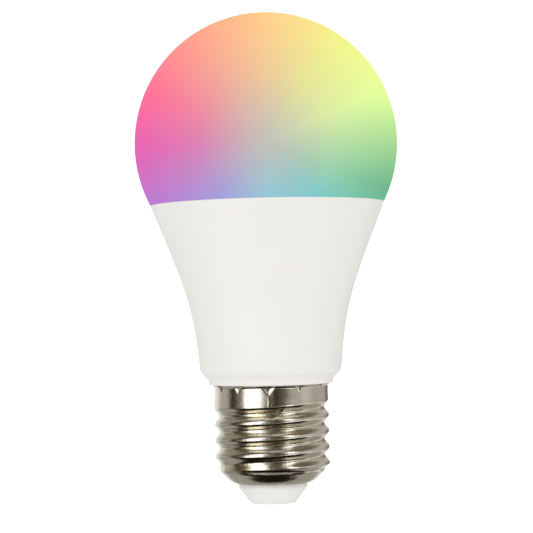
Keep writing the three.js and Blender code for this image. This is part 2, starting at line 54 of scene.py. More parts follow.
BULB_HEIGHT = 112
DOME_RADIUS = 30
DOME_CENTRE_Z = BULB_HEIGHT - DOME_RADIUS
DOME_WALL = 1.2
SEAM_Z = 68.3
SEAM_RADIUS = 26.75
SKIRT_BOTTOM_Z = 64.6
NECK_TOP_Z = 31.4
NECK_TOP_RADIUS = 16.25
HOUSING_WALL = 1.2
COLLAR_Z = 27.3
COLLAR_RADIUS = 14.3
NECK_BORE = 9.7
NECK_RADIUS = 11.35
NECK_BOTTOM_Z = 8.3
CRIMP_RING_RADIUS = 12.4

CREST_RADIUS = 13.1
ROOT_RADIUS = 12.05
PITCH = 25.4 / 7
GROOVE_Z = 18.27
SHEET = 0.3
SHELL_HOLE_RADIUS = 8.0
CRIMPS = 12
CRIMP_ANGLE = 267

# Places of what is inside, the same as the CAD's.
CORE_TOP_Z = 62.75
WHITE_RING_RADIUS = 17.3
COLOUR_RING_RADIUS = 11
WHITE_WINDOW_Z = 63.8
COLOUR_WINDOW_Z = 64.4
SHIELD_Z = 68.25
DRUM_Y = 5.3
TRANSFORMER_Z = 47.6
COIL_BACK_Y = 2.08
RESISTOR_Z = 19
VARISTOR_BOTTOM_Z = 15.9
LEAD_LENGTH = 1.58

# These differ a little from the CAD's, to be nearer to the photograph: the turned-out rim of the
# cap, its thinner edge, and the bottom of the bowl.
RIM_Z = 27.1
RIM_SHEET = 0.18
BOWL_BOTTOM_Z = 4.62

ROUND_COLUMNS = 360  # round the big turned pieces, one a degree
FILLET_STEPS = 5


# ---- Outlines ----

def rounded(corners):
    """A closed outline of (radius, z, fillet) corners, anticlockwise, with its corners rounded.

    Gives its points and their outward normals. A fillet of 0 marks a point of a smooth curve.
    """
    spots = np.array([c[:2] for c in corners], float)
    fillets = [c[2] for c in corners]
    points, normals = [], []
    for i, fillet in enumerate(fillets):
        before, here, after = spots[i - 1], spots[i], spots[(i + 1) % len(spots)]
        arriving, leaving = here - before, after - here
        lengths = np.hypot(*arriving), np.hypot(*leaving)
        arriving, leaving = arriving / lengths[0], leaving / lengths[1]
        turn = math.atan2(arriving[0] * leaving[1] - arriving[1] * leaving[0], arriving @ leaving)
        start = math.atan2(arriving[1], arriving[0])
        if not fillet or abs(turn) < 1e-3:
            heading = start + turn / 2
            points.append(here)
            normals.append((math.sin(heading), -math.cos(heading)))
            continue
        reach = min(fillet * math.tan(abs(turn) / 2), 0.48 * min(lengths))
        radius = math.copysign(reach / math.tan(abs(turn) / 2), turn)
        normal = np.array((math.sin(start), -math.cos(start)))
        centre = here - arriving * reach - normal * radius
        for step in range(FILLET_STEPS + 1):
            heading = start + turn * step / FILLET_STEPS
            normal = np.array((math.sin(heading), -math.cos(heading)))
            points.append(centre + normal * radius)
            normals.append(normal)
    return np.array(points), np.array(normals)


def curve_points(a, b, c, d, steps):
    """Points of a cubic Bezier curve, for use as smooth points of an outline."""
    t = np.linspace(0, 1, steps + 1)[:, None]
    a, b, c, d = (np.array(p, float) for p in (a, b, c, d))
    return a * (1 - t) ** 3 + b * 3 * t * (1 - t) ** 2 + c * 3 * t**2 * (1 - t) + d * t**3


FLARE = curve_points(
    (SEAM_RADIUS, SEAM_Z), (19.7, 50.7), (17.5, 46.1), (NECK_TOP_RADIUS, NECK_TOP_Z), 400
)[::-1]


def flare_radius(z):
    """The outer radius of the housing's flare at a height."""
    return np.interp(z, FLARE[:, 1], FLARE[:, 0])


def along_flare(low, high, inset, steps):
    """Smooth points along the flare from one height to another, set in from it."""
    return [(flare_radius(z) - inset, z, 0) for z in np.linspace(low, high, steps + 1)]


def globe_arc(radius, low, steps):
    """Smooth points up a globe about the dome's centre, from a height to its top."""
    start = math.asin((low - DOME_CENTRE_Z) / radius)
    angles = np.linspace(start, math.pi / 2, steps + 1)
    return [(radius * math.cos(a), DOME_CENTRE_Z + radius * math.sin(a), 0) for a in angles]


# ---- Meshes ----

def new_piece(name, vertices, faces, normals=None):
    """A smooth mesh object, from points in millimetres."""
    mesh = bpy.data.meshes.new(name)
    mesh.from_pydata((np.asarray(vertices) * MM).tolist(), [], faces)
    mesh.validate()
    mesh.shade_smooth()
    if normals is not None:
        mesh.normals_split_custom_set_from_vertices(np.asarray(normals).tolist())
    piece = bpy.data.objects.new(name, mesh)
    bpy.context.scene.collection.objects.link(piece)
    return piece


def turned(name, points, normals, columns=ROUND_COLUMNS, reshape=None):
    """Turns a closed outline about Z. An outline may start and end on the axis.

    reshape(angle, radius, z) gives the final radius of each point off the axis.
    """
    angles = np.arange(columns) * 2 * np.pi / columns
    cos, sin = np.cos(angles), np.sin(angles)
    vertices, facing, rows = [], [], []
    for (radius, z), (out, up) in zip(points, normals):
        first = len(vertices)
        if radius < 1e-6:
            vertices.append((0, 0, z))
            facing.append((0, 0, math.copysign(1, up)))
            rows.append([first] * columns)
            continue
        radii = np.full(columns, radius) if reshape is None else reshape(angles, radius, z)
        vertices.extend(zip(radii * cos, radii * sin, np.full(columns, z)))
        facing.extend(zip(out * cos, out * sin, np.full(columns, up)))
        rows.append(list(range(first, first + columns)))
    on_axis = points[0][0] < 1e-6 and points[-1][0] < 1e-6
    pairs = list(zip(rows, rows[1:])) + ([] if on_axis else [(rows[-1], rows[0])])
    faces = []
    for low, high in pairs:
        for j in range(columns):
            k = (j + 1) % columns
            loop = [low[j], low[k], high[k], high[j]]
            face = [v for n, v in enumerate(loop) if v != loop[n - 1]]
            if len(face) > 2:
                faces.append(face)
    return new_piece(name, vertices, faces, None if reshape else facing)


def smooth_step(low, high, value):
    """Rises smoothly from 0 at low to 1 at high."""
    part = np.clip((value - low) / (high - low), 0, 1)
    return part * part * (3 - 2 * part)


# ---- Node trees ----

class Look:
    """A material of one Principled shader, with helpers that add nodes to it."""

    def __init__(self, name, **settings):
        self.material = bpy.data.materials.new(name)
        self.material.use_nodes = True
        self.tree = self.material.node_tree
        self.shader = self.tree.nodes["Principled BSDF"]
        self.place = self.tree.nodes.new("ShaderNodeTexCoord").outputs["Object"]
        for socket, value in settings.items():
            self.put(self.shader, socket.replace("_", " "), value)

    def put(self, node, socket, value):
        """Sets a node's socket, or links another node's output to it."""
        target = node.inputs[socket]
        if isinstance(value, bpy.types.NodeSocket):
            self.tree.links.new(value, target)
        elif isinstance(value, tuple) and len(value) == 3 and target.type == "RGBA":
            target.default_value = (*value, 1)
        else:
            target.default_value = value

    def add(self, kind, sockets=None, output=0, **settings):
        """A node's output, after setting the node's own properties and its sockets."""
        node = self.tree.nodes.new("ShaderNode" + kind)
        for key, value in settings.items():
            setattr(node, key, value)
        for socket, value in (sockets or {}).items():
            self.put(node, socket, value)
        return node.outputs[output]

    def calc(self, operation, a, b=0.0, c=0.0):
        """The result of one arithmetic operation."""
        return self.add("Math", {0: a, 1: b, 2: c}, operation=operation)

    def times(self, a, b):
        return self.calc("MULTIPLY", a, b)

    def noise(self, size, detail=3.0, roughness=0.5, place=None):
        """Noise from 0 to 1, with features of a size in millimetres."""
        sockets = {
            "Vector": place or self.place,
            "Scale": 1 / (size * MM),
            "Detail": detail,
            "Roughness": roughness,
        }
        return self.add("TexNoise", sockets)

    def stretched(self, x, y, z):
        """Object coordinates with each axis scaled, which draws noise out along the small ones."""
        sockets = {0: self.place, 1: (x, y, z)}
        return self.add("VectorMath", sockets, operation="MULTIPLY")

    def span(self, value, low, high, to_low=0.0, to_high=1.0):
        """Maps low..high to to_low..to_high, and clamps."""
        sockets = {"Value": value, "From Min": low, "From Max": high}
        sockets.update({"To Min": to_low, "To Max": to_high})
        return self.add("MapRange", sockets)

    def mix(self, factor, a, b, blend="MIX"):
        """Mixes two colours."""
        node = self.tree.nodes.new("ShaderNodeMix")
        node.data_type = "RGBA"
        node.blend_type = blend
        for index, value in ((0, factor), (6, a), (7, b)):
            target = node.inputs[index]
            if isinstance(value, bpy.types.NodeSocket):
                self.tree.links.new(value, target)
            else:
                target.default_value = (*value, 1) if isinstance(value, tuple) else value
        return node.outputs[2]

    def axis(self, name, of=None):
        """One coordinate of a vector, in metres for object coordinates."""
        node = self.tree.nodes.new("ShaderNodeSeparateXYZ")
        self.tree.links.new(of or self.place, node.inputs[0])
        return node.outputs[name]

    def radius(self):
        """The distance from the bulb's axis, in metres."""
        flat = self.stretched(1, 1, 0)
        return self.add("VectorMath", {0: flat}, output="Value", operation="LENGTH")

    def bump(self, height, depth, after=None):
        """A normal from a height of 0 to 1, over a depth in millimetres."""
        sockets = {"Height": height, "Distance": depth * MM, "Strength": 1.0}
        if after is not None:
            sockets["Normal"] = after
        return self.add("Bump", sockets)

    def finish(self, **links):
        """Sets or links the shader's sockets, and gives the material."""
        for socket, value in links.items():
            self.put(self.shader, socket.replace("_", " "), value)
        return self.material


def dress(piece, material):
    """Gives a piece its material."""
    piece.data.materials.clear()
    piece.data.materials.append(material)
    return piece


def fit(piece, node, material):
    """Puts a piece on the bulb's one body, in place of a CAD node, and gives it its material."""
    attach(piece, "root")
    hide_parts(node)
    return dress(piece, material)


# ---- Camera ----

CAMERA_PLACE = (-0.00046, -0.4339, 0.04454)
CAMERA_PITCH = 91.25
CAMERA_ROLL = -1.24
CAMERA_LENS = 128.3


def add_camera():
    data = bpy.data.cameras.new("camera")
    data.lens = CAMERA_LENS
    data.sensor_width = 36
    camera = bpy.data.objects.new("camera", data)
    bpy.context.scene.collection.objects.link(camera)
    pitch = Matrix.Rotation(math.radians(CAMERA_PITCH), 4, "X")
    roll = Matrix.Rotation(math.radians(CAMERA_ROLL), 4, "Z")
    camera.matrix_world = Matrix.Translation(CAMERA_PLACE) @ pitch @ roll
    bpy.context.scene.camera = camera
    bpy.context.scene.view_settings.view_transform = "Standard"


# ---- Dome ----

# The lit dome's colours, in sRGB: pale grey in the middle, and a rainbow round the rim, as seen from
# the front. They are round numbers, near to the colours in the photograph.
RAINBOW_MIDDLE = (0.75, 0.75, 0.725)
SKY_BLUE = (0.4, 0.8, 0.95)
VIOLET = (0.6, 0.55, 0.9)
MAGENTA = (0.9, 0.4, 0.7)
ROSE = (1.0, 0.45, 0.6)
CORAL = (1.0, 0.65, 0.55)
PEACH = (1.0, 0.8, 0.55)
LEMON = (0.95, 0.95, 0.55)
LIME = (0.9, 1.0, 0.6)
LEAF_GREEN = (0.55, 0.85, 0.65)
TEAL = (0.4, 0.8, 0.8)
# The rim's colours by degrees clockwise from the top.
RAINBOW = (
    (-180, SKY_BLUE),
    (-135, VIOLET),
    (-90, MAGENTA),
    (-65, ROSE),
    (-30, CORAL),
    (0, PEACH),
    (35, LEMON),
    (65, LIME),
    (110, LEAF_GREEN),
    (135, TEAL),
    (180, SKY_BLUE),
)
MID_RING = 0.5  # as a share of the dome's radius
RIM_RING = 0.93
MID_SHARE = 0.7  # how much of the rim's colour shows at the middle ring
# Painted shade: the green side of the rim is darkened a little towards black.
SHADE_MIDDLE = 112
SHADE_REACH = 38
SHADE = 0.16
SCREEN_GAMMA = 2.25
# The colours are laid on as a viewer in front sees them: their distance, and their eyes' height.
VIEWER_DISTANCE = 434
VIEWER_HEIGHT = 44.5


def colour_ramp(look, place, stops):
    """A colour ramp along a value from 0 to 1, through (place, colour) stops."""
    ramp = look.tree.nodes.new("ShaderNodeValToRGB")
    look.tree.links.new(place, ramp.inputs[0])
    elements = ramp.color_ramp.elements
    while len(elements) < len(stops):
        elements.new(0.5)
    for element, (spot, colour) in zip(elements, stops):
        element.position = spot
        element.color = (*colour, 1)
    return ramp.outputs[0]


def rainbow(look):
    """The lit colour: a rainbow round the dome's rim, greyer towards the middle."""
    depth = look.calc("DIVIDE", look.axis("Y"), VIEWER_DISTANCE * MM)
    nearness = look.calc("DIVIDE", 1.0, look.calc("ADD", 1.0, depth))
    x = look.times(look.axis("X"), nearness)
    rise = look.calc("SUBTRACT", look.axis("Z"), VIEWER_HEIGHT * MM)
    z = look.calc("MULTIPLY_ADD", rise, nearness, (VIEWER_HEIGHT - DOME_CENTRE_Z) * MM)
    around = look.calc("ARCTAN2", x, z)
    squares = look.calc("ADD", look.times(x, x), look.times(z, z))
    tip = 0.03 * DOME_RADIUS * MM  # rounds the ramp off in the very middle
    out = look.calc("SUBTRACT", look.calc("SQRT", look.calc("ADD", squares, tip * tip)), tip)
    to_mid = look.span(out, 0, MID_RING * DOME_RADIUS * MM)
    to_rim = look.span(out, MID_RING * DOME_RADIUS * MM, RIM_RING * DOME_RADIUS * MM)
    share = look.calc("MULTIPLY_ADD", to_rim, 1 - MID_SHARE, look.times(to_mid, MID_SHARE))
    stops = [((degrees + 180) / 360, colour) for degrees, colour in RAINBOW]
    rim = colour_ramp(look, look.span(around, -math.pi, math.pi), stops)
    screen = look.mix(share, RAINBOW_MIDDLE, rim)
    # Painted shade: the rim's colour is mixed towards black about SHADE_MIDDLE degrees, over SHADE_REACH.
    off = look.calc("ABSOLUTE", look.calc("SUBTRACT", around, math.radians(SHADE_MIDDLE)))
    shaded = look.times(look.span(off, 0, math.radians(SHADE_REACH), SHADE, 0), to_rim)
    screen = look.mix(shaded, screen, (0, 0, 0))
    return look.add("Gamma", {"Color": screen, "Gamma": SCREEN_GAMMA})


def opal_look():
    look = Look("opal_dome", IOR=1.05, Specular_IOR_Level=0.1, Emission_Strength=0.98)
    colour = rainbow(look)
    base = look.mix(1.0, colour, (0.05, 0.05, 0.05), "MULTIPLY")
    roughness = look.span(look.noise(2.5, 4), 0.3, 0.7, 0.44, 0.58)
    ripple = look.bump(look.noise(6, 2), 0.01)
    return look.finish(
        Base_Color=base, Emission_Color=colour, Roughness=roughness, Normal=ripple
    )


def make_dome():
    skirt_inset = HOUSING_WALL + 0.4
    skirt_top = flare_radius(SEAM_Z) - skirt_inset
    skirt_bottom = flare_radius(SKIRT_BOTTOM_Z) - skirt_inset
    rim_z = SEAM_Z + 0.18
    outer = globe_arc(DOME_RADIUS, rim_z, 110)
    outer[0] = (*outer[0][:2], 0.16)
    inner = globe_arc(DOME_RADIUS - DOME_WALL, SEAM_Z + 1.6, 40)[::-1]
    inner[-1] = (*inner[-1][:2], 0.4)
    skirt = [
        (skirt_top - 1, SEAM_Z, 0.4),
        (skirt_bottom - 1, SKIRT_BOTTOM_Z, 0.2),
        (skirt_bottom, SKIRT_BOTTOM_Z, 0.3),
        (skirt_top, SEAM_Z, 0.3),
        (skirt_top, rim_z, 0.12),
    ]
    points, normals = rounded([*inner, *skirt, *outer])
    normals[0], normals[-1] = (0, -1), (0, 1)
    dome = turned("dome", points, normals)
    return fit(dome, "diffuser_dome", opal_look())


# ---- Housing ----

def housing_look():
    look = Look("housing_plastic", Specular_IOR_Level=0.35)
    cloud = look.noise(14, 3)
    colour = look.mix(look.span(cloud, 0.35, 0.65), (0.93, 0.913, 0.885), (0.915, 0.90, 0.872))
    roughness = look.span(look.noise(3, 4), 0.3, 0.7, 0.5, 0.64)
    ripple = look.bump(look.noise(0.5, 4), 0.006, look.bump(look.noise(5, 2), 0.02))
    return look.finish(Base_Color=colour, Roughness=roughness, Normal=ripple)


def make_housing():
    outer = [
        (NECK_BORE, NECK_BOTTOM_Z, 0.15),
        (NECK_RADIUS, NECK_BOTTOM_Z, 0.4),
        (NECK_RADIUS, 23.3, 0.4),
        (CRIMP_RING_RADIUS, 24.3, 0.3),
        (CRIMP_RING_RADIUS, 26.1, 0.2),
        (11.2, 26.4, 0.2),
        (11.2, COLLAR_Z, 0.1),
        (COLLAR_RADIUS, COLLAR_Z, 0.3),
        (COLLAR_RADIUS, 28.4, 0.5),
        (15.1, 29.2, 0.5),
        (15.8, 29.9, 0.8),
        (16.15, 30.6, 0.8),
        *along_flare(NECK_TOP_Z, SEAM_Z, 0, 70),
    ]
    outer[-1] = (*outer[-1][:2], 0.14)
    inner = along_flare(SEAM_Z, NECK_TOP_Z + 0.6, HOUSING_WALL, 30)
    inner[0] = (*inner[0][:2], 0.2)
    inner += [(COLLAR_RADIUS - 0.1, 30.6, 0.8), (NECK_BORE, 29.8, 0.5)]
    points, normals = rounded([*outer, *inner])
    housing = turned("housing_body", points, normals)
    return fit(housing, "housing", housing_look())


# Each rib's middle and its half sizes.
RAIL_MIDDLE = (9.3, 1.35, 20.5)
RAIL_HALF = (1, 0.4, 7.5)


def make_rails():
    """Four ribs in the neck, which hold the tail of the driver board between them."""
    shape = bmesh.new()
    for side in (-1, 1):
        for face in (-1, 1):
            for vertex in bmesh.ops.create_cube(shape)["verts"]:
                x, y, z = (m + h * 2 * v for m, h, v in zip(RAIL_MIDDLE, RAIL_HALF, vertex.co))
                vertex.co = Vector((side * x, face * y, z)) * MM
    bmesh.ops.recalc_face_normals(shape, faces=shape.faces)
    bevel_sharp_edges(shape, 0.15)
    mesh = bpy.data.meshes.new("board_rails")
    shape.to_mesh(mesh)
    shape.free()
    mesh.shade_smooth()
    rails = bpy.data.objects.new("board_rails", mesh)
    rails.modifiers.new("even flats", "WEIGHTED_NORMAL")
    bpy.context.scene.collection.objects.link(rails)
    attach(rails, "root")
    return dress(rails, housing_look())


# ---- Screw shell ----

def thread_rise(angle, z):
    """How far the rolled thread stands proud of its root.

    It is one groove, which runs out above, and one ridge, which runs out below.
    """
    turn = angle / (2 * np.pi)
    turns_up = (z - GROOVE_Z) / PITCH
    groove = np.round(turns_up - turn) + turn
    ridge = np.floor(turns_up - turn) + 0.5 + turn
    groove_depth = 0.5 + 0.5 * np.cos(2 * np.pi * (turns_up - groove))
    top_run_out = 1 - smooth_step(1, 1.25, groove)
    bottom_run_out = smooth_step(-3.05, -2.55, ridge)
    bowl_fade = smooth_step(7.95, 8.95, z)
    height = CREST_RADIUS - ROOT_RADIUS
    return height * bottom_run_out * bowl_fade * (1 - top_run_out * groove_depth)


# The crimps nearest the viewer don't quite keep their spacing: degrees off it, by number.
CRIMP_SHIFTS = {-2: 4.5, -1: -1.7, 1: 1.0, 2: -1.5}


def crimp_press(angle, z):
    """How far the crimps press the rim in.

    Each is a notch with a flat floor and a ramp on either side, widening towards the rim. The
    neutral lead's is the largest.
    """
    degrees = np.degrees(angle) - CRIMP_ANGLE
    spacing = 360 / CRIMPS
    pressed = 0
    for number in range(-CRIMPS // 2 - 2, CRIMPS // 2 + 1):
        off = np.abs(degrees - number * spacing - CRIMP_SHIFTS.get(number, 0))
        large = number == 0
        foot, depth, half_width, ramp = (24.85, 0.32, 7.6, 4.4) if large else (25.4, 0.32, 4.6, 3.2)
        up = np.clip((z - foot) / (RIM_Z - foot), 0, 1)
        inside = (up * half_width - off) / ramp
        pressed = np.maximum(pressed, depth * (0.45 + 0.55 * up) * smooth_step(-0.1, 1, inside))
    return pressed


def rim_drop(angle):
    """How far the rim lies below its height, round the cap: a little lower at each crimp."""
    waves = 0.5 - 0.5 * np.cos(angle * 5 + 1.3) * np.cos(angle * 3)
    near = (np.degrees(angle) - CRIMP_ANGLE + 15) % (360 / CRIMPS) - 15
    return 0.05 * waves + 0.1 * np.exp(-((near / 4.0) ** 2))


def rim_flare(z):
    """How far the rim turns outwards under the collar; the band below it is drawn in a little."""
    turned_out = np.clip((z - 26.6) / (RIM_Z - 26.6), 0, 1) ** 2
    return 0.38 * turned_out - 0.13 * smooth_step(22.6, 24.6, z)


def lead_ridge(angle, z):
    """The narrow ridge that the neutral lead raises in the band below its crimp."""
    off = (np.degrees(angle) - CRIMP_ANGLE - 0.4) / 0.8
    return 0.05 * np.exp(-off * off) * smooth_step(22.2, 22.7, z) * (1 - smooth_step(24.7, 25.2, z))


def start_crease(angle, z):
    """The slanting crease where the rolling of the thread began."""
    along_bulb = z - 21.35
    round_bulb = np.radians(np.degrees(angle) - 275.5) * CREST_RADIUS
    along = (round_bulb * 0.82 + along_bulb * 0.57) / 1.5
    across = (along_bulb * 0.82 - round_bulb * 0.57) / 0.34
    fade = np.exp(-(along**4))
    return fade * (0.12 * np.exp(-across * across) - 0.05 * np.exp(-((across + 1.8) ** 2)))


# The bowl below the thread, as (radius, z) points from its hole up to the thread's root. They were
# set by comparing renders with the photograph.
BOWL = (
    (SHELL_HOLE_RADIUS, BOWL_BOTTOM_Z),
    (8.85, 4.88),
    (9.4, 5.15),
    (9.9, 5.5),
    (10.36, 5.9),
    (10.76, 6.3),
    (11.14, 6.7),
    (11.5, 7.06),
    (11.74, 7.3),
    (11.86, 7.48),
    (11.96, 7.75),
    (ROOT_RADIUS, 8.0),
)


def smoothed(points, steps):
    """A Catmull-Rom curve through some points, with this many steps between each two."""
    spots = np.array(points, float)
    spots = np.vstack((2 * spots[0] - spots[1], spots, 2 * spots[-1] - spots[-2]))
    curve = []
    for a, b, c, d in zip(spots, spots[1:], spots[2:], spots[3:]):
        for t in np.arange(steps) / steps:
            bend = 2 * a - 5 * b + 4 * c - d
            curve.append(0.5 * (2 * b + (c - a) * t + bend * t**2 + (3 * b - a - 3 * c + d) * t**3))
    return np.array([*curve, spots[-2]])


SHELL_COLUMNS = 480
ROW_STEP = 0.19
BAND_BOTTOM_Z = 23.2
BAND_ROWS = 30
RIM_STEPS = 6
INSIDE_STEP = 3  # the inside needs only every third row


def shell_rows():
    """The (radius, z) rows of the sheet's outside before it's rolled and pressed, from its hole up."""
    wall = [(ROOT_RADIUS, z) for z in np.arange(BOWL[-1][1] + ROW_STEP, BAND_BOTTOM_Z, ROW_STEP)]
    wall += [(ROOT_RADIUS, z) for z in np.linspace(BAND_BOTTOM_Z, RIM_Z, BAND_ROWS)]
    return np.array([*smoothed(BOWL, 3), *wall])


def shell_layers(angles):
    """Rings of radii and heights: up the sheet's outside, over the rim's edge and down the inside."""
    rows = shell_rows()

    def surface(radius, z):
        rise = thread_rise(angles, z) - crimp_press(angles, z)
        return radius + rise + rim_flare(z) + lead_ridge(angles, z) - start_crease(angles, z)

    outer = np.array([surface(r, z) for r, z in rows])
    heights = np.repeat(rows[:, 1:], SHELL_COLUMNS, 1)
    heights = heights - rim_drop(angles) * smooth_step(23.8, RIM_Z, heights)
    slope_r, slope_z = np.gradient(outer, axis=0), np.gradient(heights, axis=0)
    length = np.hypot(slope_r, slope_z)
    out, up = slope_z / length, -slope_r / length
    sheet = SHEET + (RIM_SHEET - SHEET) * smooth_step(24.5, RIM_Z, rows[:, 1:])
    layers = list(zip(outer, heights))
    for step in range(1, RIM_STEPS):
        turn = math.pi * step / RIM_STEPS
        side, tip = RIM_SHEET / 2 * (math.cos(turn) - 1), RIM_SHEET / 2 * math.sin(turn)
        around = outer[-1] + out[-1] * side - up[-1] * tip
        layers.append((around, heights[-1] + up[-1] * side + out[-1] * tip))
    for row in [*range(len(rows) - 1, 0, -INSIDE_STEP), 0]:
        layers.append((outer[row] - out[row] * sheet[row], heights[row] - up[row] * sheet[row]))
    return layers


def make_shell():
    angles = np.arange(SHELL_COLUMNS) * 2 * np.pi / SHELL_COLUMNS
    layers = shell_layers(angles)
    vertices = []
    for radii, z in layers:
        vertices.extend(zip(radii * np.cos(angles), radii * np.sin(angles), z))
    faces = []
    for i in range(len(layers)):
        low, high = i * SHELL_COLUMNS, (i + 1) % len(layers) * SHELL_COLUMNS
        for j in range(SHELL_COLUMNS):
            k = (j + 1) % SHELL_COLUMNS
            faces.append([low + j, low + k, high + k, high + j])
    shell = new_piece("cap_shell", vertices, faces)
    return fit(shell, "screw_shell", nickel_look())


def nickel_look():
    look = Look("nickel_shell", Metallic=1.0)
    height = look.span(look.radius(), ROOT_RADIUS * MM, CREST_RADIUS * MM)
    tarnish = look.span(look.noise(2.2, 5, 0.6), 0.4, 0.62)
    clean, olive = (0.71, 0.655, 0.565), (0.60, 0.545, 0.36)
    valley = look.times(tarnish, look.span(height, 0, 1, 1.0, 0.15))
    thread = look.span(look.axis("Z", look.place), 7.5 * MM, 9 * MM, 0.4, 1)
    colour = look.mix(look.times(valley, thread), clean, olive)
    roughness = look.span(look.noise(0.6, 5, 0.65), 0.3, 0.75, 0.06, 0.15)
    speckle = look.bump(look.noise(0.4, 3, 0.6), 0.032)
    peel = look.bump(look.noise(1.6, 2), 0.03, speckle)
    return look.finish(Base_Color=colour, Roughness=roughness, Normal=peel)


# ---- Insulator and contact ----

def insulator_look():
    look = Look("insulator_plastic", Specular_IOR_Level=0.5)
    bands = look.noise(1.5, 3, 0.5, look.stretched(0.2, 0.2, 1))
    colour = look.mix(look.span(bands, 0.35, 0.65), (0.935, 0.925, 0.895), (0.895, 0.885, 0.855))
    roughness = look.span(look.noise(1.2, 4), 0.3, 0.7, 0.3, 0.45)
    ripple = look.bump(look.noise(0.8, 3), 0.012)
    return look.finish(Base_Color=colour, Roughness=roughness, Normal=ripple)


def make_insulator():
    head_hole, stem_hole = 3.9, 2.2
    corners = [
        (head_hole, 0.15, 0.1),
        (5.05, 0.15, 0.45),
        (7.88, 3.8, 0.3),
        (7.75, 5.05, 0.3),
        (8.4, 5.45, 0.3),
        (9.35, 6.25, 0.12),
        (9.4, 6.6, 0.1),
        (8.5, 6.6, 0.3),
        (6.3, 4.4, 0.5),
        (4.4, 2.3, 0.5),
        (3.3, 2.3, 0.3),
        (3.3, 6.6, 0.2),
        (stem_hole, 6.6, 0.15),
        (stem_hole, 1.1, 0.1),
        (head_hole, 1.1, 0.15),
    ]
    points, normals = rounded(corners)
    insulator = turned("base_button", points, normals, 192)
    return fit(insulator, "base_insulator", insulator_look())


def contact_look():
    look = Look("contact_metal", Metallic=1.0)
    rings = look.add("TexWave", {"Vector": look.place, "Scale": 900.0, "Distortion": 0.6}, 1)
    worn = look.span(look.noise(0.9, 5, 0.6), 0.42, 0.6)
    colour = look.mix(worn, (0.74, 0.70, 0.61), (0.60, 0.50, 0.33))
    roughness = look.span(look.noise(0.4, 4), 0.3, 0.7, 0.2, 0.42)
    ripple = look.bump(rings, 0.004, look.bump(look.noise(0.5, 4), 0.02))
    return look.finish(Base_Color=colour, Roughness=roughness, Normal=ripple)


def make_contact():
    corners = [
        (0, 0.22, 0),
        (0.75, 0.2, 0.3),
        (1.15, 0, 0.4),
        (3.1, 0, 0.6),
        (3.6, 0.3, 0.3),
        (3.6, 0.8, 0.12),
        (1.9, 0.8, 0.15),
        (1.9, 5.8, 0.2),
        (1, 5.8, 0.1),
        (1, 1.8, 0.3),
        (0, 1.8, 0),
    ]
    points, normals = rounded(corners)
    normals[0], normals[-1] = (0, -1), (0, 1)
    contact = turned("centre_contact", points, normals, 144)
    return fit(contact, "contact_pin", contact_look())


# ---- The pieces inside ----

# They keep the shapes of the CAD, with their sharp edges rounded off.

SHARP_ANGLE = math.radians(32)


def bevel_sharp_edges(shape, width):
    """Rounds the sharp edges off, over a width in millimetres."""
    sharp = [e for e in shape.edges if e.is_manifold and e.calc_face_angle(0) > SHARP_ANGLE]
    how = {"segments": 2, "profile": 0.5, "affect": "EDGES", "clamp_overlap": True}
    bmesh.ops.bevel(shape, geom=sharp, offset=width * MM, **how)


def rounded_copy(node, name, width):
    """A copy of a CAD node's mesh with its flat faces joined and its sharp edges bevelled."""
    shape = bmesh.new()
    shape.from_mesh(NODES[node].data)
    bmesh.ops.remove_doubles(shape, verts=shape.verts, dist=1e-7)
    if width:
        flat = math.radians(0.5)
        bmesh.ops.dissolve_limit(shape, angle_limit=flat, verts=shape.verts, edges=shape.edges)
        bevel_sharp_edges(shape, width)
    mesh = bpy.data.meshes.new(name)
    shape.to_mesh(mesh)
    shape.free()
    mesh.shade_smooth()
    mesh.set_sharp_from_angle(angle=math.radians(34))
    piece = bpy.data.objects.new(name, mesh)
    flats = piece.modifiers.new("even flats", "WEIGHTED_NORMAL")
    flats.keep_sharp = True
    bpy.context.scene.collection.objects.link(piece)
    return piece


def moulded(name, light, dark, gloss=(0.4, 0.6), grain=0.4, relief=0.008, patch=5.0):
    """Moulded plastic or a coat: two close tones, an uneven gloss and a fine grain."""
    look = Look(name)
    look.tone = look.mix(look.span(look.noise(patch, 3), 0.35, 0.65), light, dark)
    look.gloss = look.span(look.noise(patch / 3, 4), 0.3, 0.7, *gloss)
    look.grain = look.bump(look.noise(grain, 4), relief)
    look.finish(Base_Color=look.tone, Roughness=look.gloss, Normal=look.grain)
    return look


def metal(name, clean, worn, gloss=(0.2, 0.4), drawn=(1, 1, 1), grain=0.3, relief=0.006):
    """Bare or plated metal: dull patches, and marks drawn out along an axis."""
    look = Look(name, Metallic=1.0)
    marks = look.noise(grain, 4, 0.6, look.stretched(*drawn))
    tone = look.mix(look.span(look.noise(3, 5, 0.6), 0.42, 0.66), clean, worn)
    look.grain = look.bump(marks, relief)
    look.finish(Base_Color=tone, Roughness=look.span(marks, 0.3, 0.7, *gloss), Normal=look.grain)
    return look


def near(look, value, centre, half, soft=0.03):
    """1 within half a width of a centre and 0 outside it, all in millimetres."""
    off = look.calc("ABSOLUTE", look.calc("SUBTRACT", value, centre * MM))
    return look.span(off, (half - soft) * MM, (half + soft) * MM, 1, 0)


def above(look, value, level, soft=0.05):
    """1 above a level in millimetres and 0 below it."""
    return look.span(value, (level - soft) * MM, (level + soft) * MM)


def below(look, value, level, soft=0.05):
    return look.calc("SUBTRACT", 1.0, above(look, value, level, soft))


def facing(look, name):
    """How squarely the surface faces along an axis, from 0 to 1, whichever way."""
    normal = look.tree.nodes.new("ShaderNodeNewGeometry").outputs["Normal"]
    return look.calc("ABSOLUTE", look.axis(name, normal))


def inlay(look, share, colour, gloss, metallic=1.0):
    """Lays another material over part of a look."""
    step = look.calc("SUBTRACT", gloss, look.gloss)
    return look.finish(
        Base_Color=look.mix(share, look.tone, colour),
        Roughness=look.calc("MULTIPLY_ADD", step, share, look.gloss),
        Metallic=look.times(share, metallic),
    )


TIN = (0.72, 0.72, 0.71)


